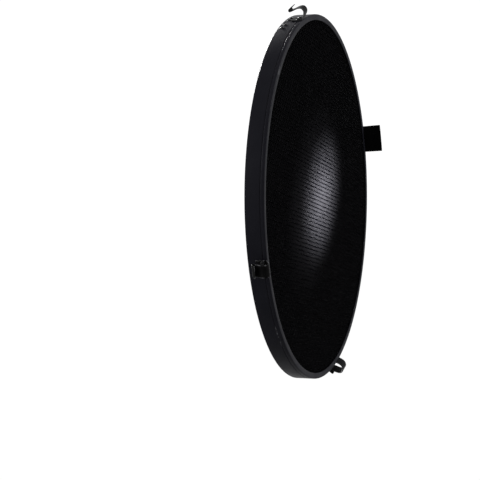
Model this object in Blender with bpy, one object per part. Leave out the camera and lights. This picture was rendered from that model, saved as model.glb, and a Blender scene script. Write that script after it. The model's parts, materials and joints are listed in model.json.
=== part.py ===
"""Round honeycomb grid for the mouth of a 44 cm beauty-dish reflector.

A rolled aluminium channel (the hoop) holds an expanded-foil honeycomb core between its two lips. A splice
plate joins the channel's ends, four spring clips are riveted to its wall, and a wide pull tab shares the
rivets of one clip. The grid's axis is Y: the light leaves towards -Y, and the plane y = 0 is the hoop's rear
face, which meets the reflector. Angles run anticlockwise from +X as seen from the front.
"""
import math

import bmesh
import bpy
from mathutils import Matrix, Vector

MM = 0.001

# Driving dimensions
HOOP_RADIUS = 205 * MM
HOOP_DEPTH = 21 * MM
SHEET = 1.2 * MM                 # gauge of the hoop's channel
FRONT_LIP = 6.5 * MM
REAR_LIP = 5.5 * MM
BEAD_BACK = 4.0 * MM             # from the front face to the middle of the groove round the wall
BEAD_WIDTH = 2.0 * MM
BEAD_DEPTH = 0.5 * MM
EDGE_RADIUS = 1.0 * MM           # outside bend of the channel's corners
CLEARANCE = 0.3 * MM             # between pieces that touch
SEAM_GAP = 0.8 * MM              # between the channel's two ends

CORE_RADIUS = 200.5 * MM
CELL_ACROSS = 31 * MM            # coarse cells stand for the real ones of 5.6 mm
CELL_WALL = 0.4 * MM             # keeps the mass of the real, far thinner foil
ROW_TILT = math.radians(-7.3)    # the foil's rows run down towards +X

CLIP_ANGLES = {"right": 20.8, "top": 110.5, "left": 200.0, "bottom": 290.4}
CLIP_WIDTH = 14 * MM
CLIP_GAUGE = 0.8 * MM
FOOT_LENGTH = 11 * MM
FOOT_BACK = 1.2 * MM             # from the hoop's front face back to the foot's front end
# Centre line of the spring hook: height above the foot's centre line, and distance in front of the hoop.
# It leaves the foot, runs out and forward, turns over the rim, comes back and curls into a flared tip.
HOOK_POINTS = ((0.0, -0.9), (0.5, 0.2), (3.0, 2.3), (6.2, 4.2), (9.5, 4.5), (12.3, 2.9), (13.2, 0.2),
               (12.6, -3.2), (11.4, -6.2), (10.3, -9.0), (9.8, -10.7), (10.1, -11.8), (11.3, -12.2),
               (12.7, -11.3), (15.2, -8.2))
HOOK_ROOT = 2                    # points at the root, which keep their place on every clip
# Hooks are bent by hand, so each one stands a little further forward or back, in mm.
HOOK_SHIFTS = {"right": 0.0, "top": -1.3, "left": -0.3, "bottom": 1.8}
HOOK_STEPS = 2                   # samples along each stretch between two of those points

TAB_WIDTH = 33.5 * MM
TAB_GAUGE = 1.0 * MM
TAB_REACH = 20 * MM              # in front of the hoop
TAB_LEAN = math.radians(11)
TAB_CLIP = "right"               # the clip whose rivets also hold the tab

SEAM_ANGLE = 113.2
SPLICE_LENGTH = 48 * MM
SPLICE_WIDTH = 17 * MM
SPLICE_GAUGE = 1.0 * MM
SPLICE_RIVETS = (-18 * MM, -8 * MM, 8 * MM, 18 * MM)
SPLICE_RIVET_BACK = 15.5 * MM      # from the front face, behind the clips' feet

CLIP_RIVET_BACK = 4.5 * MM
CLIP_RIVET_PITCH = 8 * MM
SHANK_RADIUS = 1.6 * MM
HEAD_RADIUS = 2.5 * MM
HEAD_HEIGHT = 0.9 * MM
TAIL_RADIUS = 2.3 * MM
TAIL_HEIGHT = 0.8 * MM
ROUND_SIDES = 10                 # sides of a rivet and of its hole

HOOP_SEGMENTS = 80
FRONT = -HOOP_DEPTH
WALL_INSIDE = HOOP_RADIUS - SHEET
SMOOTH_BELOW = math.radians(40)


def clear_scene():
    """Remove every object that the file opened with."""
    for obj in list(bpy.data.objects):
        bpy.data.objects.remove(obj)


def make_material(name, colour, roughness, metallic):
    """A Principled material of one colour."""
    material = bpy.data.materials.new(name)
    material.use_nodes = True
    shader = material.node_tree.nodes["Principled BSDF"]
    shader.inputs["Base Color"].default_value = (*colour, 1.0)
    shader.inputs["Roughness"].default_value = roughness
    shader.inputs["Metallic"].default_value = metallic
    return material


def add_object(name, bm, material, parent=None):
    """Turn a bmesh into a named object, smooth where its faces meet at a small angle."""
    bmesh.ops.recalc_face_normals(bm, faces=bm.faces[:])
    mesh = bpy.data.meshes.new(name)
    bm.to_mesh(mesh)
    bm.free()
    mesh.shade_smooth()
    mesh.set_sharp_from_angle(angle=SMOOTH_BELOW)
    mesh.materials.append(material)
    obj = bpy.data.objects.new(name, mesh)
    bpy.context.scene.collection.objects.link(obj)
    obj.parent = parent
    return obj


def add_empty(name, matrix):
    """An empty that carries one clip's pieces; its X axis points outward and its Z axis along the hoop."""
    empty = bpy.data.objects.new(name, None)
    empty.matrix_world = matrix
    bpy.context.scene.collection.objects.link(empty)
    return empty


def turned(angle):
    """The rotation about the grid's axis that carries +X to the given angle in degrees."""
    return Matrix.Rotation(-math.radians(angle), 4, "Y")


def along_hoop(distance):
    """The angle in degrees that a distance along the hoop's wall covers."""
    return math.degrees(distance / HOOP_RADIUS)


def arc_sweep(outline, start, end, segments):
    """Sweep a closed outline of (radius, y) points round the grid's axis, with capped ends."""
    bm = bmesh.new()
    rings = []
    for index in range(segments + 1):
        spin = turned(start + (end - start) * index / segments)
        rings.append([bm.verts.new(spin @ Vector((radius, y, 0))) for radius, y in outline])
    for ring, following in zip(rings, rings[1:]):
        for here in range(len(outline)):
            after = (here + 1) % len(outline)
            bm.faces.new((ring[here], ring[after], following[after], following[here]))
    bm.faces.new(rings[0])
    bm.faces.new(rings[-1])
    return bm


def lathe(outline):
    """Turn (x, radius) points round the X axis; the first and last points lie on it."""
    bm = bmesh.new()
    vertices = [bm.verts.new((x, radius, 0)) for x, radius in outline]
    edges = [bm.edges.new(pair) for pair in zip(vertices, vertices[1:])]
    bmesh.ops.spin(bm, geom=vertices + edges, cent=(0, 0, 0), axis=(1, 0, 0),
                   angle=2 * math.pi, steps=ROUND_SIDES, use_merge=True)
    bmesh.ops.remove_doubles(bm, verts=bm.verts[:], dist=1e-6)
    return bm


def thick_strip(centre_line, gauge, width, columns=1, wrap=False):
    """Give a centre line in the XY plane a thickness, and a width along Z, wrapped round the hoop if asked."""
    outward = []
    for index, point in enumerate(centre_line):
        before = centre_line[max(index - 1, 0)]
        after = centre_line[min(index + 1, len(centre_line) - 1)]
        direction = (after - before).normalized()
        outward.append(point + Vector((direction.y, -direction.x)) * gauge / 2)
    inward = [2 * point - edge for point, edge in zip(centre_line, outward)]
    outline = outward + inward[::-1]
    bm = bmesh.new()
    slices = []
    for column in range(columns + 1):
        across = width * (column / columns - 0.5)
        if wrap:
            spin = turned(along_hoop(across))
            slices.append([bm.verts.new(spin @ Vector((x, y, 0))) for x, y in outline])
        else:
            slices.append([bm.verts.new((x, y, across)) for x, y in outline])
    for near, far in zip(slices, slices[1:]):
        for here in range(len(outline)):
            after = (here + 1) % len(outline)
            bm.faces.new((near[here], near[after], far[after], far[here]))
    last = len(outline) - 1
    for end in (slices[0], slices[-1]):
        for here in range(len(centre_line) - 1):
            bm.faces.new((end[here], end[here + 1], end[last - here - 1], end[last - here]))
    return bm


def smooth_line(points, steps):
    """Points along a Catmull-Rom curve through the given ones."""
    line = []
    for index in range(len(points) - 1):
        before = points[max(index - 1, 0)]
        start, end = points[index], points[index + 1]
        after = points[min(index + 2, len(points) - 1)]
        for step in range(steps):
            t = step / steps
            line.append(0.5 * (2 * start + (end - before) * t
                               + (2 * before - 5 * start + 4 * end - after) * t ** 2
                               + (3 * start - before - 3 * end + after) * t ** 3))
    return line + [points[-1]]


def cut_holes(obj, cutter):
    """Cut the rivet holes out of an object."""
    cut = obj.modifiers.new("rivet_holes", "BOOLEAN")
    cut.operation = "DIFFERENCE"
    cut.solver = "EXACT"
    cut.object = cutter


def hoop_outline():
    """The channel's section: the outside from lip to lip with its groove, then back along the inside."""
    corner = EDGE_RADIUS
    slope = BEAD_WIDTH / 4
    groove = FRONT + BEAD_BACK
    bend = [(corner * math.sin(turn), corner * math.cos(turn)) for turn in (0, math.pi / 4, math.pi / 2)]
    front_bend = [(HOOP_RADIUS - corner + x, FRONT + corner - y) for x, y in bend]
    rear_bend = [(HOOP_RADIUS - corner + x, -corner + y) for x, y in reversed(bend)]
    bead = [(HOOP_RADIUS, groove - BEAD_WIDTH / 2), (HOOP_RADIUS - BEAD_DEPTH, groove - slope),
            (HOOP_RADIUS - BEAD_DEPTH, groove + slope), (HOOP_RADIUS, groove + BEAD_WIDTH / 2)]
    outside = [(HOOP_RADIUS - FRONT_LIP, FRONT), *front_bend, *bead, *rear_bend, (HOOP_RADIUS - REAR_LIP, 0)]
    inside = [(HOOP_RADIUS - REAR_LIP, -SHEET), (WALL_INSIDE, -SHEET),
              (WALL_INSIDE, FRONT + SHEET), (HOOP_RADIUS - FRONT_LIP, FRONT + SHEET)]
    return outside + inside


def hexagon(centre, corner_radius):
    """Corners of a hexagon with two sides along the foil's ribbons."""
    corners = []
    for index in range(6):
        angle = math.radians(60 * index + 30) + ROW_TILT
        corners.append(centre + corner_radius * Vector((math.cos(angle), math.sin(angle))))
    return corners


def clipped_to_circle(corners, radius, sides=72):
    """The part of a convex outline that lies inside a many-sided circle round the origin."""
    for index in range(sides):
        angle = 2 * math.pi * index / sides
        normal = Vector((math.cos(angle), math.sin(angle)))
        limit = radius * math.cos(math.pi / sides)
        kept = []
        for here, after in zip(corners, corners[1:] + corners[:1]):
            over, next_over = here.dot(normal) - limit, after.dot(normal) - limit
            if over <= 0:
                kept.append(here)
            if over * next_over < 0:
                kept.append(here.lerp(after, over / (over - next_over)))
        corners = kept
    return corners


def area(corners):
    """Area of a flat outline."""
    return 0.5 * sum(here.cross(after) for here, after in zip(corners, corners[1:] + corners[:1]))


def cell_outlines():
    """The openings of the honeycomb, cut off at the core's edge; slivers there are left out."""
    corner_radius = (CELL_ACROSS - CELL_WALL) / math.sqrt(3)
    smallest = 0.2 * CELL_ACROSS ** 2
    reach = int(CORE_RADIUS / CELL_ACROSS) + 2
    row = Vector((math.cos(ROW_TILT), math.sin(ROW_TILT)))
    up = Vector((-row.y, row.x))
    outlines = []
    for line in range(-reach, reach + 1):
        for place in range(-reach, reach + 1):
            along = place + 0.5 * (line % 2)
            centre = row * along * CELL_ACROSS + up * line * CELL_ACROSS * math.sqrt(3) / 2
            outline = clipped_to_circle(hexagon(centre, corner_radius), CORE_RADIUS - CELL_WALL)
            if len(outline) > 2 and area(outline) > smallest:
                outlines.append(outline)
    return outlines


def make_core(material):
    """The honeycomb between the hoop's lips: an open plate of cells inside a thin edge."""
    front = FRONT + SHEET + CLEARANCE
    back = -SHEET - CLEARANCE
    edge = [CORE_RADIUS * Vector((math.cos(angle), math.sin(angle)))
            for angle in (2 * math.pi * index / HOOP_SEGMENTS for index in range(HOOP_SEGMENTS))]
    bm = bmesh.new()
    for outline in [edge, *cell_outlines()]:
        vertices = [bm.verts.new((x, front, z)) for x, z in outline]
        for here, after in zip(vertices, vertices[1:] + vertices[:1]):
            bm.edges.new((here, after))
    bmesh.ops.triangle_fill(bm, use_beauty=True, edges=bm.edges[:], normal=(0, -1, 0))
    copy = bmesh.ops.extrude_face_region(bm, geom=bm.faces[:], use_keep_orig=True)
    moved = [item for item in copy["geom"] if isinstance(item, bmesh.types.BMVert)]
    bmesh.ops.translate(bm, verts=moved, vec=(0, back - front, 0))
    return add_object("honeycomb_core", bm, material)


def make_rivet(name, angle, y, grip_top, grip_bottom, material):
    """A blind rivet along the radius: domed head outside, shank, and set tail inside the channel."""
    head = grip_top + CLEARANCE
    tail = grip_bottom - CLEARANCE
    outline = ((head + HEAD_HEIGHT, 0), (head + 0.85 * HEAD_HEIGHT, 0.5 * HEAD_RADIUS),
               (head + 0.4 * HEAD_HEIGHT, 0.9 * HEAD_RADIUS), (head, HEAD_RADIUS), (head, SHANK_RADIUS),
               (tail, SHANK_RADIUS), (tail, TAIL_RADIUS), (tail - TAIL_HEIGHT, 0.8 * TAIL_RADIUS),
               (tail - TAIL_HEIGHT, 0))
    rivet = add_object(name, lathe(outline), material)
    rivet.matrix_world = turned(angle) @ Matrix.Translation((0, y, 0))


def hole_cutter(places):
    """One guide object holding a radial cylinder for every rivet hole."""
    bm = bmesh.new()
    length = 20 * MM
    for angle, y in places:
        stand = turned(angle) @ Matrix.Translation((HOOP_RADIUS, y, 0)) @ Matrix.Rotation(math.pi / 2, 4, "Y")
        bmesh.ops.create_cone(bm, cap_ends=True, segments=ROUND_SIDES, depth=length, matrix=stand,
                              radius1=SHANK_RADIUS + CLEARANCE, radius2=SHANK_RADIUS + CLEARANCE)
    cutter = add_object("rivet_hole_cutter", bm, None)
    cutter.hide_render = True
    cutter.display_type = "WIRE"
    return cutter


def make_clip(side, angle, base, cutter, material):
    """One spring clip: a foot on the hoop's wall and the hook that springs from its front end."""
    height = base + CLIP_GAUGE / 2
    root = Vector((height, FRONT + FOOT_BACK, 0))
    stand = add_empty("clip_" + side, turned(angle) @ Matrix.Translation(root))
    foot_line = [Vector((0, 0)), Vector((0, FOOT_LENGTH))]
    foot = add_object(f"clip_foot_{side}", thick_strip(foot_line, CLIP_GAUGE, CLIP_WIDTH), material, stand)
    cut_holes(foot, cutter)
    points = []
    for index, (out, ahead) in enumerate(HOOK_POINTS):
        shift = HOOK_SHIFTS[side] if index >= HOOK_ROOT else 0
        points.append(Vector((out * MM, FRONT - (ahead + shift) * MM - root.y)))
    hook_line = smooth_line(points, HOOK_STEPS)
    add_object(f"clip_hook_{side}", thick_strip(hook_line, CLIP_GAUGE, CLIP_WIDTH), material, stand)


def make_tab(cutter, material):
    """The pull tab: a plain sheet that lies on the wall and carries on in front of the hoop, leaning out."""
    base = HOOP_RADIUS + CLEARANCE + TAB_GAUGE / 2
    centre_line = [Vector((base, FRONT + FOOT_BACK + FOOT_LENGTH)), Vector((base, FRONT)),
                   Vector((base + TAB_REACH * math.tan(TAB_LEAN), FRONT - TAB_REACH))]
    tab = add_object("pull_tab", thick_strip(centre_line, TAB_GAUGE, TAB_WIDTH, columns=6, wrap=True), material)
    tab.matrix_world = turned(CLIP_ANGLES[TAB_CLIP])
    cut_holes(tab, cutter)


def main():
    clear_scene()
    black_sheet = make_material("black_anodised", (0.03, 0.03, 0.033), 0.35, 1.0)
    black_foil = make_material("black_foil", (0.02, 0.02, 0.022), 0.45, 0.6)
    black_spring = make_material("black_spring_steel", (0.015, 0.015, 0.016), 0.4, 0.5)
    black_tab = make_material("black_tab", (0.01, 0.01, 0.01), 0.6, 0.0)
    rivet_metal = make_material("black_rivet", (0.03, 0.03, 0.03), 0.4, 0.8)
    plain_sheet = make_material("plain_aluminium", (0.6, 0.6, 0.62), 0.4, 1.0)

    clip_row = FRONT + CLIP_RIVET_BACK
    splice_row = FRONT + SPLICE_RIVET_BACK
    clip_turns = [along_hoop(side * CLIP_RIVET_PITCH / 2) for side in (-1, 1)]
    clip_holes = [(angle + turn, clip_row) for angle in CLIP_ANGLES.values() for turn in clip_turns]
    splice_holes = [(SEAM_ANGLE + along_hoop(shift), splice_row) for shift in SPLICE_RIVETS]
    cutter = hole_cutter(clip_holes + splice_holes)

    half_gap = along_hoop(SEAM_GAP / 2)
    hoop = add_object("hoop_channel", arc_sweep(hoop_outline(), SEAM_ANGLE + half_gap,
                                                SEAM_ANGLE + 360 - half_gap, HOOP_SEGMENTS), black_sheet)
    cut_holes(hoop, cutter)
    make_core(black_foil)

    plate_top = WALL_INSIDE - CLEARANCE
    plate_bottom = plate_top - SPLICE_GAUGE
    middle = FRONT / 2
    plate_outline = [(plate_bottom, middle - SPLICE_WIDTH / 2), (plate_top, middle - SPLICE_WIDTH / 2),
                     (plate_top, middle + SPLICE_WIDTH / 2), (plate_bottom, middle + SPLICE_WIDTH / 2)]
    half_plate = along_hoop(SPLICE_LENGTH / 2)
    plate = add_object("splice_plate", arc_sweep(plate_outline, SEAM_ANGLE - half_plate,
                                                 SEAM_ANGLE + half_plate, 12), plain_sheet)
    cut_holes(plate, cutter)
    for number, (angle, y) in enumerate(splice_holes, 1):
        make_rivet(f"splice_rivet_{number}", angle, y, HOOP_RADIUS, plate_bottom, rivet_metal)

    make_tab(cutter, black_tab)
    for side, angle in CLIP_ANGLES.items():
        base = HOOP_RADIUS + CLEARANCE
        if side == TAB_CLIP:
            base += TAB_GAUGE + CLEARANCE
        make_clip(side, angle, base, cutter, black_spring)
        for number, turn in enumerate(clip_turns, 1):
            behind_plate = abs(angle + turn - SEAM_ANGLE) < half_plate
            grip_bottom = plate_bottom if behind_plate else WALL_INSIDE
            make_rivet(f"clip_rivet_{side}_{number}", angle + turn, clip_row, base + CLIP_GAUGE,
                       grip_bottom, rivet_metal)


main()
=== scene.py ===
"""Looks for the round honeycomb grid: true-pitch foil core, rolled hoop, bent spring clips and rivets."""
import json
import math
import random

import bmesh
import bpy
from mathutils import Matrix, Vector


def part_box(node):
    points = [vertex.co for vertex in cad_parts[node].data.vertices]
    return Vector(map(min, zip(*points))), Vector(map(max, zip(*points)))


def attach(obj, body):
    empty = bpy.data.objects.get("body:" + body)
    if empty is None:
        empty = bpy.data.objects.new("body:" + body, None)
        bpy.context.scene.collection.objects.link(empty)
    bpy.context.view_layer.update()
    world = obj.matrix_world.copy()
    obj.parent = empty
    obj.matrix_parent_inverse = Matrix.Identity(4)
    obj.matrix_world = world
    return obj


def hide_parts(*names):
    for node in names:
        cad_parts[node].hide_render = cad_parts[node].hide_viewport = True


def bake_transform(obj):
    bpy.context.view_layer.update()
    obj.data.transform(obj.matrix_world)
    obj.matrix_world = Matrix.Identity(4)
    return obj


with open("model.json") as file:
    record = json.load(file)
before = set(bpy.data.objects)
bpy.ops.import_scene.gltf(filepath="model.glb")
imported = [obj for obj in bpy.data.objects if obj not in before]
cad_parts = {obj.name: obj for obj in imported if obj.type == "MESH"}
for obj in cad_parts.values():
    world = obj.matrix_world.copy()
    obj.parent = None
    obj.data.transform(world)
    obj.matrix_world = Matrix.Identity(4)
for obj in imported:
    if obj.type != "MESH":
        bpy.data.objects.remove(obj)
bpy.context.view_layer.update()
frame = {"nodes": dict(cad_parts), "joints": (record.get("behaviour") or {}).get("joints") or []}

MM = 0.001
SEED = 44
CLIP_SIDES = ("right", "top", "left", "bottom")

# The honeycomb: foil ribbons run nearly upright, opened a little wider than a regular hexagon.
FOIL = 0.12 * MM                 # twice what such foil is taken to be, so that its cut edges show
CELL_SIDE = 3.22 * MM
OPENING = math.radians(68.7)     # between a slanted wall and the ribbon's direction
ROW_TILT = math.radians(-7.3)
CELL_JITTER = 0.10 * MM
CORE_MARGIN = 0.5 * MM           # the foil may run a little past the coarse core, behind the lips

# The hoop: a rolled channel whose lips are hemmed, with a rolled groove round the wall
HOOP_GAUGE = 1.2 * MM
BEND = 1.0 * MM
CREASE = 0.3 * MM                # bevel of the inside corners
FRONT_LIP = 6.5 * MM
REAR_LIP = 5.5 * MM
GROOVE_BACK = 4.0 * MM           # from the front face to the groove's middle
GROOVE_HALF = 1.0 * MM
GROOVE_DEPTH = 0.5 * MM
GROOVE_STEPS = 8
SEAM_GAP = 0.8 * MM
HOOP_SEGMENTS = 360

# The spring clips
CLIP_GAUGE = 0.8 * MM
CLIP_WIDTH = 14 * MM
CLIP_CORNER = 1.2 * MM
FOOT_END = 12.2 * MM             # from the hoop's front face to the foot's back end
FOOT_STEP = 1.4 * MM
FOOT_POINTS = 8
# The hook's centre line: height above the foot and distance in front of the hoop, in mm.
HOOK_POINTS = ((0.0, -0.9), (0.5, 0.2), (3.0, 2.3), (6.2, 4.2), (9.5, 4.5), (12.3, 2.9), (13.2, 0.2),
               (12.6, -3.2), (11.4, -6.2), (10.3, -9.0), (9.8, -10.7), (10.1, -11.8), (11.3, -12.2),
               (12.7, -11.3), (15.2, -8.2))
HOOK_ROOT = 2                    # points at the root, which keep their place on every clip
# Hooks are bent by hand, so each one stands a little further forward or back, in mm.
HOOK_SHIFTS = {"right": 0.0, "top": -1.3, "left": -0.3, "bottom": 1.8}
CURVE_STEPS = 5

# The pull tab
TAB_GAUGE = 1.0 * MM
TAB_WIDTH = 33.5 * MM
TAB_REACH = 20 * MM
TAB_LEAN = math.radians(11)
TAB_CORNER = 0.6 * MM
TAB_FOOT_STEP = 1.2 * MM
TAB_FOOT_POINTS = 10
CLEARANCE = 0.3 * MM             # between the hoop's wall and the tab

# The rivets
HEAD_RADIUS = 2.5 * MM
HEAD_HEIGHT = 0.9 * MM
SHANK_RADIUS = 1.6 * MM
TAIL_RADIUS = 2.3 * MM
TAIL_HEIGHT = 0.8 * MM
RIVET_SIDES = 40

# The studio, in metres, watts and degrees. The camera's values were fitted to the view to be matched.
FLOOR_DROP = 0.9                 # from the hoop's lowest point to the floor
FLOOR_HALF = 30
WORLD_STRENGTH = 1.06
LIGHT_AWAY = 1.6                 # from a light to its target, level
SMALL_LAMP = 0.03                # radius of the two lamps that make the bright patch on the honeycomb
LARGE_LAMP = 0.35
LENS = 108.4
SENSOR = 36
CAMERA_AWAY = 8.0                # in hoop radii
CAMERA_AZIMUTH = math.radians(73.67)
CAMERA_FORWARD = (0.9419, 0.3347, -0.02965)


# ---------------------------------------------------------------- frame

def joint(name):
    """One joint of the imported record."""
    return next(j for j in frame["joints"] if j["name"] == name)


def side_angle(side):
    """A clip's angle round the hoop, from +X, anticlockwise as seen from the front."""
    x, _, z = joint(f"clip_{side}_flex")["pos_m"]
    return math.atan2(z, x)


def turned(angle):
    """The rotation about the grid's axis that carries +X to the given angle."""
    return Matrix.Rotation(-angle, 4, "Y")


hoop_low, hoop_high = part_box("hoop_channel")
core_low, core_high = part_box("honeycomb_core")
HOOP_RADIUS = (hoop_high.z - hoop_low.z) / 2
FRONT = hoop_low.y
REAR = hoop_high.y
CORE_RADIUS = (core_high.x - core_low.x) / 2 + CORE_MARGIN


# ---------------------------------------------------------------- materials

def new_material(name, colour, roughness, metallic=0.0, specular=0.5, ior=1.5):
    """A Principled material and its node tree."""
    material = bpy.data.materials.new(name)
    material.use_nodes = True
    shader = material.node_tree.nodes["Principled BSDF"]
    shader.inputs["Base Color"].default_value = (*colour, 1)
    shader.inputs["Roughness"].default_value = roughness
    shader.inputs["Metallic"].default_value = metallic
    shader.inputs["Specular IOR Level"].default_value = specular
    shader.inputs["IOR"].default_value = ior
    return material, material.node_tree, shader


def noise(tree, scale, detail=4.0, rough=0.6, stretch=(1, 1, 1)):
    """Noise over object coordinates, stretched if asked; returns its Factor socket."""
    place = tree.nodes.new("ShaderNodeTexCoord")
    mapping = tree.nodes.new("ShaderNodeMapping")
    mapping.inputs["Scale"].default_value = stretch
    tree.links.new(place.outputs["Object"], mapping.inputs["Vector"])
    texture = tree.nodes.new("ShaderNodeTexNoise")
    texture.inputs["Scale"].default_value = scale
    texture.inputs["Detail"].default_value = detail
    texture.inputs["Roughness"].default_value = rough
    tree.links.new(mapping.outputs["Vector"], texture.inputs["Vector"])
    return texture.outputs["Fac"]


def ranged(tree, factor, low, high, start=0.3, end=0.7):
    """Map a factor from one range to another."""
    node = tree.nodes.new("ShaderNodeMapRange")
    node.inputs["From Min"].default_value = start
    node.inputs["From Max"].default_value = end
    node.inputs["To Min"].default_value = low
    node.inputs["To Max"].default_value = high
    tree.links.new(factor, node.inputs["Value"])
    return node.outputs["Result"]


def mixed(tree, factor, dark, light):
    """Mix two colours (or colour sockets) by a factor."""
    node = tree.nodes.new("ShaderNodeMix")
    node.data_type = "RGBA"
    tree.links.new(factor, node.inputs["Factor"])
    for socket, value in (("A", dark), ("B", light)):
        target = next(i for i in node.inputs if i.name == socket and i.type == "RGBA")
        if isinstance(value, tuple):
            target.default_value = (*value, 1)
        else:
            tree.links.new(value, target)
    return next(o for o in node.outputs if o.type == "RGBA")


def bumped(tree, shader, height, strength, distance):
    """Feed a height into the shader's normal."""
    bump = tree.nodes.new("ShaderNodeBump")
    bump.inputs["Strength"].default_value = strength
    bump.inputs["Distance"].default_value = distance
    tree.links.new(height, bump.inputs["Height"])
    tree.links.new(bump.outputs["Normal"], shader.inputs["Normal"])


def edge_wear(tree, amount=0.6):
    """Where the surface is sharply convex, broken up by noise: pointed edges of the mesh."""
    geometry = tree.nodes.new("ShaderNodeNewGeometry")
    sharp = ranged(tree, geometry.outputs["Pointiness"], 0, 1, 0.53, 0.62)
    spots = ranged(tree, noise(tree, 240, 3), 0, amount, 0.45, 0.65)
    product = tree.nodes.new("ShaderNodeMath")
    product.operation = "MULTIPLY"
    tree.links.new(sharp, product.inputs[0])
    tree.links.new(spots, product.inputs[1])
    return product.outputs[0]


def hoop_material():
    """Black anodised aluminium strip: satin, with a fine grain, worn at its edges."""
    material, tree, shader = new_material("hoop_black_anodised", (0.008, 0.008, 0.010), 0.38, ior=1.06)
    cloudy = noise(tree, 9, 3)
    base = mixed(tree, ranged(tree, cloudy, 0, 1), (0.0030, 0.0030, 0.0042), (0.0055, 0.0055, 0.0070))
    worn = mixed(tree, edge_wear(tree, 0.3), base, (0.12, 0.12, 0.13))
    tree.links.new(worn, shader.inputs["Base Color"])
    tree.links.new(ranged(tree, noise(tree, 60, 5), 0.32, 0.46), shader.inputs["Roughness"])
    bumped(tree, shader, noise(tree, 900, 2), 0.15, 0.00005)
    return material


def foil_material():
    """Black coated foil: the upright walls, picked out by facing sideways, are painted about ten times
    lighter than the slanted ones, painted light and painted shade that make the stripes of lit walls; the
    cut edges are a little lighter still.
    """
    material, tree, shader = new_material("core_black_foil", (0.005, 0.005, 0.005), 0.42, ior=1.03)
    geometry = tree.nodes.new("ShaderNodeNewGeometry")
    split = tree.nodes.new("ShaderNodeSeparateXYZ")
    tree.links.new(geometry.outputs["True Normal"], split.inputs["Vector"])
    flat = tree.nodes.new("ShaderNodeMath")
    flat.operation = "ABSOLUTE"
    tree.links.new(split.outputs["Y"], flat.inputs[0])
    edge = ranged(tree, flat.outputs[0], 0, 1, 0.6, 0.8)
    sideways = tree.nodes.new("ShaderNodeMath")
    sideways.operation = "ABSOLUTE"
    tree.links.new(split.outputs["X"], sideways.inputs[0])
    # The upright walls face sideways: this mask picks them out for painted light.
    upright_painted_light_mask = ranged(tree, sideways.outputs[0], 0, 1, 0.65, 0.85)
    cloudy = ranged(tree, noise(tree, 35, 4), 0, 1)
    # Painted shade on the slanted walls, and painted light about ten times lighter on the upright ones, for
    # the stripes of lit walls.
    slanted_painted_shade = mixed(tree, cloudy, (0.0003, 0.0003, 0.0005), (0.0005, 0.0005, 0.0007))
    upright_painted_light = mixed(tree, cloudy, (0.0037, 0.0036, 0.0041), (0.0053, 0.0052, 0.0059))
    walls_painted_light_and_shade = mixed(tree, upright_painted_light_mask, slanted_painted_shade, upright_painted_light)
    tree.links.new(mixed(tree, edge, walls_painted_light_and_shade, (0.007, 0.007, 0.0075)), shader.inputs["Base Color"])
    tree.links.new(ranged(tree, noise(tree, 300, 3), 0.36, 0.52), shader.inputs["Roughness"])
    bumped(tree, shader, noise(tree, 500, 3), 0.2, 0.0001)
    return material


def spring_material():
    """Black coated spring steel: semi-gloss, rubbed to metal where the hook bears on the rim."""
    material, tree, shader = new_material("clip_black_spring_steel", (0.004, 0.004, 0.004), 0.33, ior=1.06)
    cloudy = ranged(tree, noise(tree, 60, 4), 0, 1)
    base = mixed(tree, cloudy, (0.001, 0.001, 0.001), (0.0025, 0.0025, 0.0027))
    worn = mixed(tree, edge_wear(tree, 0.7), base, (0.22, 0.22, 0.23))
    tree.links.new(worn, shader.inputs["Base Color"])
    tree.links.new(ranged(tree, noise(tree, 150, 4), 0.26, 0.42), shader.inputs["Roughness"])
    bumped(tree, shader, noise(tree, 700, 3), 0.15, 0.00005)
    return material


def tab_material():
    """Matt black powder coat with a fine grain."""
    material, tree, shader = new_material("tab_matt_black", (0.001, 0.001, 0.001), 0.62, ior=1.04)
    cloudy = ranged(tree, noise(tree, 40, 4), 0, 1)
    base = mixed(tree, cloudy, (0.0005, 0.0005, 0.0005), (0.0015, 0.0015, 0.0015))
    worn = mixed(tree, edge_wear(tree, 0.4), base, (0.12, 0.12, 0.12))
    tree.links.new(worn, shader.inputs["Base Color"])
    tree.links.new(ranged(tree, noise(tree, 200, 4), 0.55, 0.72), shader.inputs["Roughness"])
    bumped(tree, shader, noise(tree, 1500, 2), 0.3, 0.00006)
    return material


def rivet_material():
    """Black aluminium rivet with a slightly brighter dome."""
    material, tree, shader = new_material("rivet_black", (0.006, 0.006, 0.006), 0.35, ior=1.12)
    cloudy = ranged(tree, noise(tree, 300, 4), 0, 1)
    base = mixed(tree, cloudy, (0.004, 0.004, 0.004), (0.009, 0.009, 0.0095))
    worn = mixed(tree, edge_wear(tree, 0.8), base, (0.30, 0.30, 0.31))
    tree.links.new(worn, shader.inputs["Base Color"])
    tree.links.new(ranged(tree, noise(tree, 500, 3), 0.28, 0.42), shader.inputs["Roughness"])
    return material


def mill_material():
    """Bare mill-finish aluminium, brushed along the sheet."""
    material, tree, shader = new_material("splice_mill_aluminium", (0.6, 0.6, 0.62), 0.4, metallic=1.0)
    streaks = noise(tree, 300, 4, stretch=(0.1, 1, 0.1))
    tree.links.new(mixed(tree, ranged(tree, streaks, 0, 1), (0.48, 0.48, 0.5), (0.62, 0.62, 0.64)),
                   shader.inputs["Base Color"])
    tree.links.new(ranged(tree, streaks, 0.3, 0.5), shader.inputs["Roughness"])
    return material


# ---------------------------------------------------------------- mesh helpers

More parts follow.
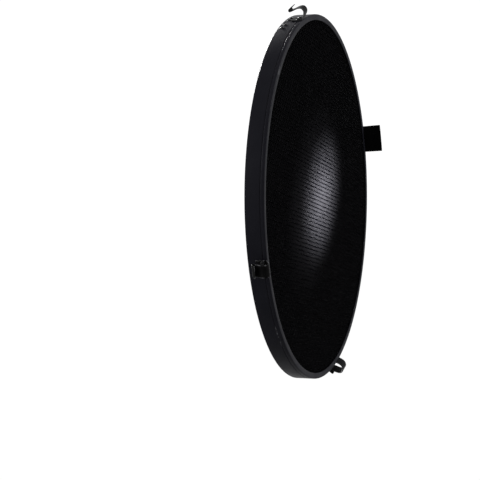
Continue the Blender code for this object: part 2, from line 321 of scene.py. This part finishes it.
def add_piece(name, bm, material, body, nodes, smooth=35):
    """Make a piece from a bmesh, in place of the CAD nodes, riding on a body (or on none for None)."""
    bmesh.ops.recalc_face_normals(bm, faces=bm.faces[:])
    mesh = bpy.data.meshes.new(name)
    bm.to_mesh(mesh)
    bm.free()
    mesh.shade_smooth()
    mesh.set_sharp_from_angle(angle=math.radians(smooth))
    mesh.materials.append(material)
    piece = bpy.data.objects.new(name, mesh)
    bpy.context.scene.collection.objects.link(piece)
    if body:
        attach(piece, body)
    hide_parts(*nodes)
    return piece


def arc(centre, radius, start, end, steps):
    """Points of an arc in a section, angles in degrees."""
    turns = (math.radians(start + (end - start) * step / steps) for step in range(steps + 1))
    return [(centre[0] + radius * math.cos(turn), centre[1] + radius * math.sin(turn)) for turn in turns]


def grid_faces(bm, rows, closed):
    """Quads between neighbouring rows of vertices."""
    for row, following in zip(rows, rows[1:]):
        count = len(row) if closed else len(row) - 1
        for here in range(count):
            after = (here + 1) % len(row)
            bm.faces.new((row[here], row[after], following[after], following[here]))


# ---------------------------------------------------------------- pieces

def hoop_section():
    """Outside, rear lip, inside and front lip of the rolled channel, with rounded bends and hems."""
    hem = HOOP_GAUGE / 2
    wall = HOOP_RADIUS - HOOP_GAUGE
    lip_front = HOOP_RADIUS - FRONT_LIP
    lip_rear = HOOP_RADIUS - REAR_LIP
    groove = FRONT + GROOVE_BACK
    lead = 1.1 * GROOVE_HALF
    section = arc((HOOP_RADIUS - BEND, FRONT + BEND), BEND, -90, 0, 6)
    section += [(HOOP_RADIUS, groove - lead)]
    for step in range(GROOVE_STEPS + 1):
        turn = step / GROOVE_STEPS
        depth = GROOVE_DEPTH * math.sin(math.pi * turn) ** 2
        section.append((HOOP_RADIUS - depth, groove + (2 * turn - 1) * GROOVE_HALF))
    section += [(HOOP_RADIUS, groove + lead)]
    section += arc((HOOP_RADIUS - BEND, REAR - BEND), BEND, 0, 90, 6)
    section += arc((lip_rear + hem, REAR - hem), hem, 90, 270, 8)
    section += [(wall - CREASE, REAR - HOOP_GAUGE), (wall, REAR - HOOP_GAUGE - CREASE),
                (wall, FRONT + HOOP_GAUGE + CREASE), (wall - CREASE, FRONT + HOOP_GAUGE)]
    section += arc((lip_front + hem, FRONT + hem), hem, 90, 270, 8)
    return section


def seam_angle():
    """The middle of the splice plate, which lies behind the seam."""
    vertices = [v.co for v in frame["nodes"]["splice_plate"].data.vertices]
    turns = [math.atan2(co.z, co.x) for co in vertices]
    return (min(turns) + max(turns)) / 2


def make_hoop(material):
    """The rolled channel, round from one side of its seam to the other."""
    section = hoop_section()
    half_gap = SEAM_GAP / 2 / HOOP_RADIUS
    start = seam_angle() + half_gap
    sweep = 2 * math.pi - 2 * half_gap
    bm = bmesh.new()
    rings = []
    for index in range(HOOP_SEGMENTS + 1):
        spin = turned(start + sweep * index / HOOP_SEGMENTS)
        rings.append([bm.verts.new(spin @ Vector((radius, y, 0))) for radius, y in section])
    grid_faces(bm, rings, closed=True)
    bm.faces.new(rings[0])
    bm.faces.new(rings[-1])
    add_piece("hoop_band", bm, material, "grid", ["hoop_channel"])


def make_core(material):
    """The honeycomb as its corrugated foil ribbons, each glued to the next at every other flat."""
    rng = random.Random(SEED)
    half_width = CELL_SIDE * math.sin(OPENING)
    pitch = 2 * CELL_SIDE * (1 + math.cos(OPENING))
    columns = int(CORE_RADIUS / half_width) + 2
    rows = int(CORE_RADIUS / pitch) + 2
    tilt = Matrix.Rotation(ROW_TILT, 2)
    shifts = {}

    def shift(key):
        if key not in shifts:
            shifts[key] = Vector((rng.gauss(0, CELL_JITTER), rng.gauss(0, CELL_JITTER)))
        return shifts[key]

    bm = bmesh.new()
    for column in range(-columns, columns):
        points = []
        for row in range(-rows, rows + 1):
            base = row * pitch
            inner, outer = (column, column + 1) if column % 2 == 0 else (column + 1, column)
            for place, along, key in ((inner, 0, 0), (inner, CELL_SIDE, 1),
                                      (outer, pitch / 2, 2), (outer, pitch / 2 + CELL_SIDE, 3)):
                gap = FOIL / 2 if place == column else -FOIL / 2
                point = Vector((place * half_width + gap, base + along)) + shift((place, 4 * row + key))
                points.append(tilt @ point)
        run = []
        for point in points + [None]:
            if point is not None and point.length < CORE_RADIUS:
                run.append(point)
                continue
            if len(run) > 1:
                add_ribbon(bm, run)
            run = []
    add_piece("foil_core", bm, material, "grid", ["honeycomb_core"], smooth=20)


def add_ribbon(bm, line):
    """One ribbon of foil, as a closed thin wall."""
    front, back = core_low.y, core_high.y
    rows = []
    for index, point in enumerate(line):
        before = line[max(index - 1, 0)]
        after = line[min(index + 1, len(line) - 1)]
        along = (after - before).normalized()
        side = Vector((-along.y, along.x)) * FOIL / 2
        left, right = point + side, point - side
        rows.append([bm.verts.new((left.x, front, left.y)), bm.verts.new((left.x, back, left.y)),
                     bm.verts.new((right.x, back, right.y)), bm.verts.new((right.x, front, right.y))])
    grid_faces(bm, rows, closed=True)
    bm.faces.new(rows[0])
    bm.faces.new(rows[-1])


def smooth_line(points, steps):
    """Points along a Catmull-Rom curve through the given ones."""
    line = []
    for index in range(len(points) - 1):
        before = points[max(index - 1, 0)]
        start, end = points[index], points[index + 1]
        after = points[min(index + 2, len(points) - 1)]
        for step in range(steps):
            t = step / steps
            line.append(0.5 * (2 * start + (end - before) * t
                               + (2 * before - 5 * start + 4 * end - after) * t ** 2
                               + (3 * start - before - 3 * end + after) * t ** 3))
    return line + [points[-1]]


def bent_strip(line, gauge, width, columns=8, wrap=0.0, corner=0.0):
    """A strip of sheet along a line in the XY plane, as wide as asked along Z, with softened long edges.

    wrap is the radius that its cross-section follows; corner rounds the far end's two corners."""
    soften = gauge * 0.3
    outward = []
    for index, point in enumerate(line):
        before, after = line[max(index - 1, 0)], line[min(index + 1, len(line) - 1)]
        direction = (after - before).normalized()
        outward.append(Vector((direction.y, -direction.x)))
    lengths = [0.0]
    for before, after in zip(line, line[1:]):
        lengths.append(lengths[-1] + (after - before).length)
    bm = bmesh.new()
    rings = []
    for point, normal, length in zip(line, outward, lengths):
        left = max(lengths[-1] - length, 0)
        half = width / 2
        if corner and left < corner:
            half -= corner - math.sqrt(max(corner ** 2 - (corner - left) ** 2, 0))
        ring = []
        stations = [-half + 2 * half * column / columns for column in range(columns + 1)]
        upper = [(stations[0], 0.5 * gauge - soften)] + \
                [(min(max(z, -half + soften), half - soften), 0.5 * gauge) for z in stations] + \
                [(stations[-1], 0.5 * gauge - soften)]
        outline = upper + [(z, -height) for z, height in reversed(upper)]
        for z, height in outline:
            place = point + normal * height
            if wrap:
                turn = z / wrap
                ring.append(bm.verts.new((place.x * math.cos(turn), place.y, place.x * math.sin(turn))))
            else:
                ring.append(bm.verts.new((place.x, place.y, z)))
        rings.append(ring)
    grid_faces(bm, rings, closed=True)
    bm.faces.new(rings[0])
    bm.faces.new(rings[-1])
    return bm


def make_clip(side, material):
    """One spring clip, one bent strip, built in place and left on no body."""
    root = Vector(joint(f"clip_{side}_flex")["pos_m"])
    height = math.hypot(root.x, root.z)
    foot = [Vector((height, FRONT + FOOT_END - step * FOOT_STEP)) for step in range(FOOT_POINTS)]
    hook = []
    for index, (out, ahead) in enumerate(HOOK_POINTS):
        shift = HOOK_SHIFTS[side] if index >= HOOK_ROOT else 0
        hook.append(Vector((height + out * MM, FRONT - (ahead + shift) * MM)))
    bm = bent_strip(smooth_line(foot + hook, CURVE_STEPS), CLIP_GAUGE, CLIP_WIDTH, corner=CLIP_CORNER)
    bm.transform(turned(side_angle(side)))
    name = f"spring_clip_{side}"
    piece = add_piece(name, bm, material, None, [f"clip_foot_{side}", f"clip_hook_{side}"])
    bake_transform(piece)


def make_tab(material):
    """The pull tab, a plain sheet under the right clip's foot that carries on in front of the hoop."""
    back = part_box("pull_tab")[1].y
    base = HOOP_RADIUS + CLEARANCE + TAB_GAUGE / 2
    line = [Vector((base, back - step * TAB_FOOT_STEP)) for step in range(TAB_FOOT_POINTS)]
    line += [Vector((base + max(FRONT - y, 0) * math.tan(TAB_LEAN), y))
             for y in (FRONT + 0.4 * MM, FRONT, FRONT - 0.6 * MM, FRONT - 0.3 * TAB_REACH,
                       FRONT - 0.6 * TAB_REACH, FRONT - TAB_REACH + 0.5 * MM, FRONT - TAB_REACH)]
    bm = bent_strip(line, TAB_GAUGE, TAB_WIDTH, columns=24, wrap=HOOP_RADIUS, corner=TAB_CORNER)
    bm.transform(turned(side_angle("right")))
    add_piece("tab_plate", bm, material, "grid", ["pull_tab"])


def make_rivet(node, material):
    """A blind rivet with a domed head, a sunk mandrel and a rolled tail."""
    low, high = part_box(node)
    vertices = [v.co for v in frame["nodes"][node].data.vertices]
    radii = [math.hypot(co.x, co.z) for co in vertices]
    centre = sum(vertices, Vector()) / len(vertices)
    angle = math.atan2(centre.z, centre.x)
    top, bottom = max(radii), min(radii)
    base = top - HEAD_HEIGHT
    outline = [(top - 0.45 * MM, 0.0), (top - 0.42 * MM, 0.55 * MM), (top - 0.25 * MM, 0.72 * MM),
               (top - 0.03 * MM, 0.85 * MM), (top, 1.05 * MM)]
    outline += [(base + HEAD_HEIGHT * math.cos(turn) ** 0.8, HEAD_RADIUS * math.sin(turn) ** 0.9)
                for turn in (math.radians(32 + 8 * step) for step in range(8))]
    outline += [(base, HEAD_RADIUS * 0.99), (base, SHANK_RADIUS), (bottom + TAIL_HEIGHT, SHANK_RADIUS),
                (bottom + TAIL_HEIGHT, TAIL_RADIUS * 0.9), (bottom + 0.5 * MM, TAIL_RADIUS),
                (bottom + 0.15 * MM, 0.9 * TAIL_RADIUS), (bottom, 0.6 * TAIL_RADIUS), (bottom, 0.0)]
    bm = bmesh.new()
    rings = []
    for x, radius in outline:
        if radius == 0:
            rings.append([bm.verts.new((x, 0, 0))])
        else:
            rings.append([bm.verts.new((x, radius * math.cos(turn), radius * math.sin(turn)))
                          for turn in (2 * math.pi * side / RIVET_SIDES for side in range(RIVET_SIDES))])
    for row, following in zip(rings, rings[1:]):
        for here in range(RIVET_SIDES):
            after = (here + 1) % RIVET_SIDES
            corners = [row[here % len(row)], row[after % len(row)],
                       following[after % len(following)], following[here % len(following)]]
            bm.faces.new(list(dict.fromkeys(corners)))
    bm.transform(turned(angle) @ Matrix.Translation((0, (low.y + high.y) / 2, 0)))
    add_piece("set_" + node, bm, material, "grid", [node])


# ---------------------------------------------------------------- studio

def make_floor():
    """A wide pale floor well below the grid, which hangs as it does on a lamp."""
    bm = bmesh.new()
    bmesh.ops.create_grid(bm, x_segments=8, y_segments=8, size=FLOOR_HALF)
    mesh = bpy.data.meshes.new("studio_floor")
    bm.to_mesh(mesh)
    bm.free()
    floor = bpy.data.objects.new("studio_floor", mesh)
    floor.location.z = hoop_low.z - FLOOR_DROP
    bpy.context.scene.collection.objects.link(floor)
    material, tree, shader = new_material("floor_pale", (0.96, 0.96, 0.96), 0.9, specular=0.0)
    tree.links.new(mixed(tree, noise(tree, 2, 3), (0.955, 0.955, 0.955), (0.965, 0.965, 0.965)),
                   shader.inputs["Base Color"])
    mesh.materials.append(material)


def aim(obj, target):
    """Point a light or camera's -Z axis at a place."""
    obj.rotation_euler = (Vector(target) - obj.location).to_track_quat("-Z", "Y").to_euler()


def add_spot(name, energy, degrees, target, azimuth, rise, radius):
    """A soft-edged spot; its azimuth runs from the front towards +X, and its rise is above the target."""
    light = bpy.data.lights.new(name, "SPOT")
    light.energy = energy
    light.spot_size = math.radians(degrees)
    light.spot_blend = 1.0
    light.shadow_soft_size = radius
    obj = bpy.data.objects.new(name, light)
    obj.location = target + Matrix.Rotation(math.radians(azimuth), 3, "Z") @ Vector((0, -LIGHT_AWAY, rise))
    bpy.context.scene.collection.objects.link(obj)
    aim(obj, target)


def make_lights():
    """A white surround, two narrow lamps for the patch on the honeycomb, and three soft ones."""
    world = bpy.data.worlds.new("studio_world")
    bpy.context.scene.world = world
    world.use_nodes = True
    world.node_tree.nodes["Background"].inputs["Color"].default_value = (1, 1, 1, 1)
    world.node_tree.nodes["Background"].inputs["Strength"].default_value = WORLD_STRENGTH

    # The patch: a lamp at the front left and below, tuned by trial, and a wider, weaker one round it.
    add_spot("glow_spot", 14500, 2.9, Vector((0.006, FRONT, -0.002)), -36, -0.85, SMALL_LAMP)
    add_spot("halo_spot", 850, 4.9, Vector((-0.018, FRONT, -0.004)), -36, -0.85, SMALL_LAMP)
    # Behind and at the right, so that the views from other sides show the cells and the bends.
    add_spot("rear_key", 1500, 26, Vector((0, REAR, 0)), 140, 0.9, LARGE_LAMP)
    add_spot("rear_fill", 350, 26, Vector((0, REAR, 0)), 215, 0.5, LARGE_LAMP)
    add_spot("right_key", 500, 26, Vector((0, FRONT, 0)), 20, 0.9, LARGE_LAMP)


def make_camera():
    """Seen from the left of the front, from 1.64 m, at 73.7 degrees to the grid's axis."""
    lens = bpy.data.cameras.new("camera")
    lens.lens = LENS
    lens.sensor_width = SENSOR
    camera = bpy.data.objects.new("camera", lens)
    bpy.context.scene.collection.objects.link(camera)
    distance = CAMERA_AWAY * HOOP_RADIUS
    camera.location = (-distance * math.sin(CAMERA_AZIMUTH), FRONT - distance * math.cos(CAMERA_AZIMUTH), 0)
    camera.rotation_euler = Vector(CAMERA_FORWARD).to_track_quat("-Z", "Y").to_euler()
    bpy.context.scene.camera = camera


make_camera()
make_floor()
make_lights()

black_hoop = hoop_material()
black_spring = spring_material()
black_rivet = rivet_material()
make_hoop(black_hoop)
make_core(foil_material())
make_tab(tab_material())
for clip_side in CLIP_SIDES:
    make_clip(clip_side, black_spring)
for node_name in sorted(frame["nodes"]):
    if "rivet" in node_name:
        make_rivet(node_name, black_rivet)
plate = frame["nodes"]["splice_plate"]
plate.data.materials.clear()
plate.data.materials.append(mill_material())

bpy.context.scene.view_settings.view_transform = "Standard"
bpy.context.scene.view_settings.look = "None"
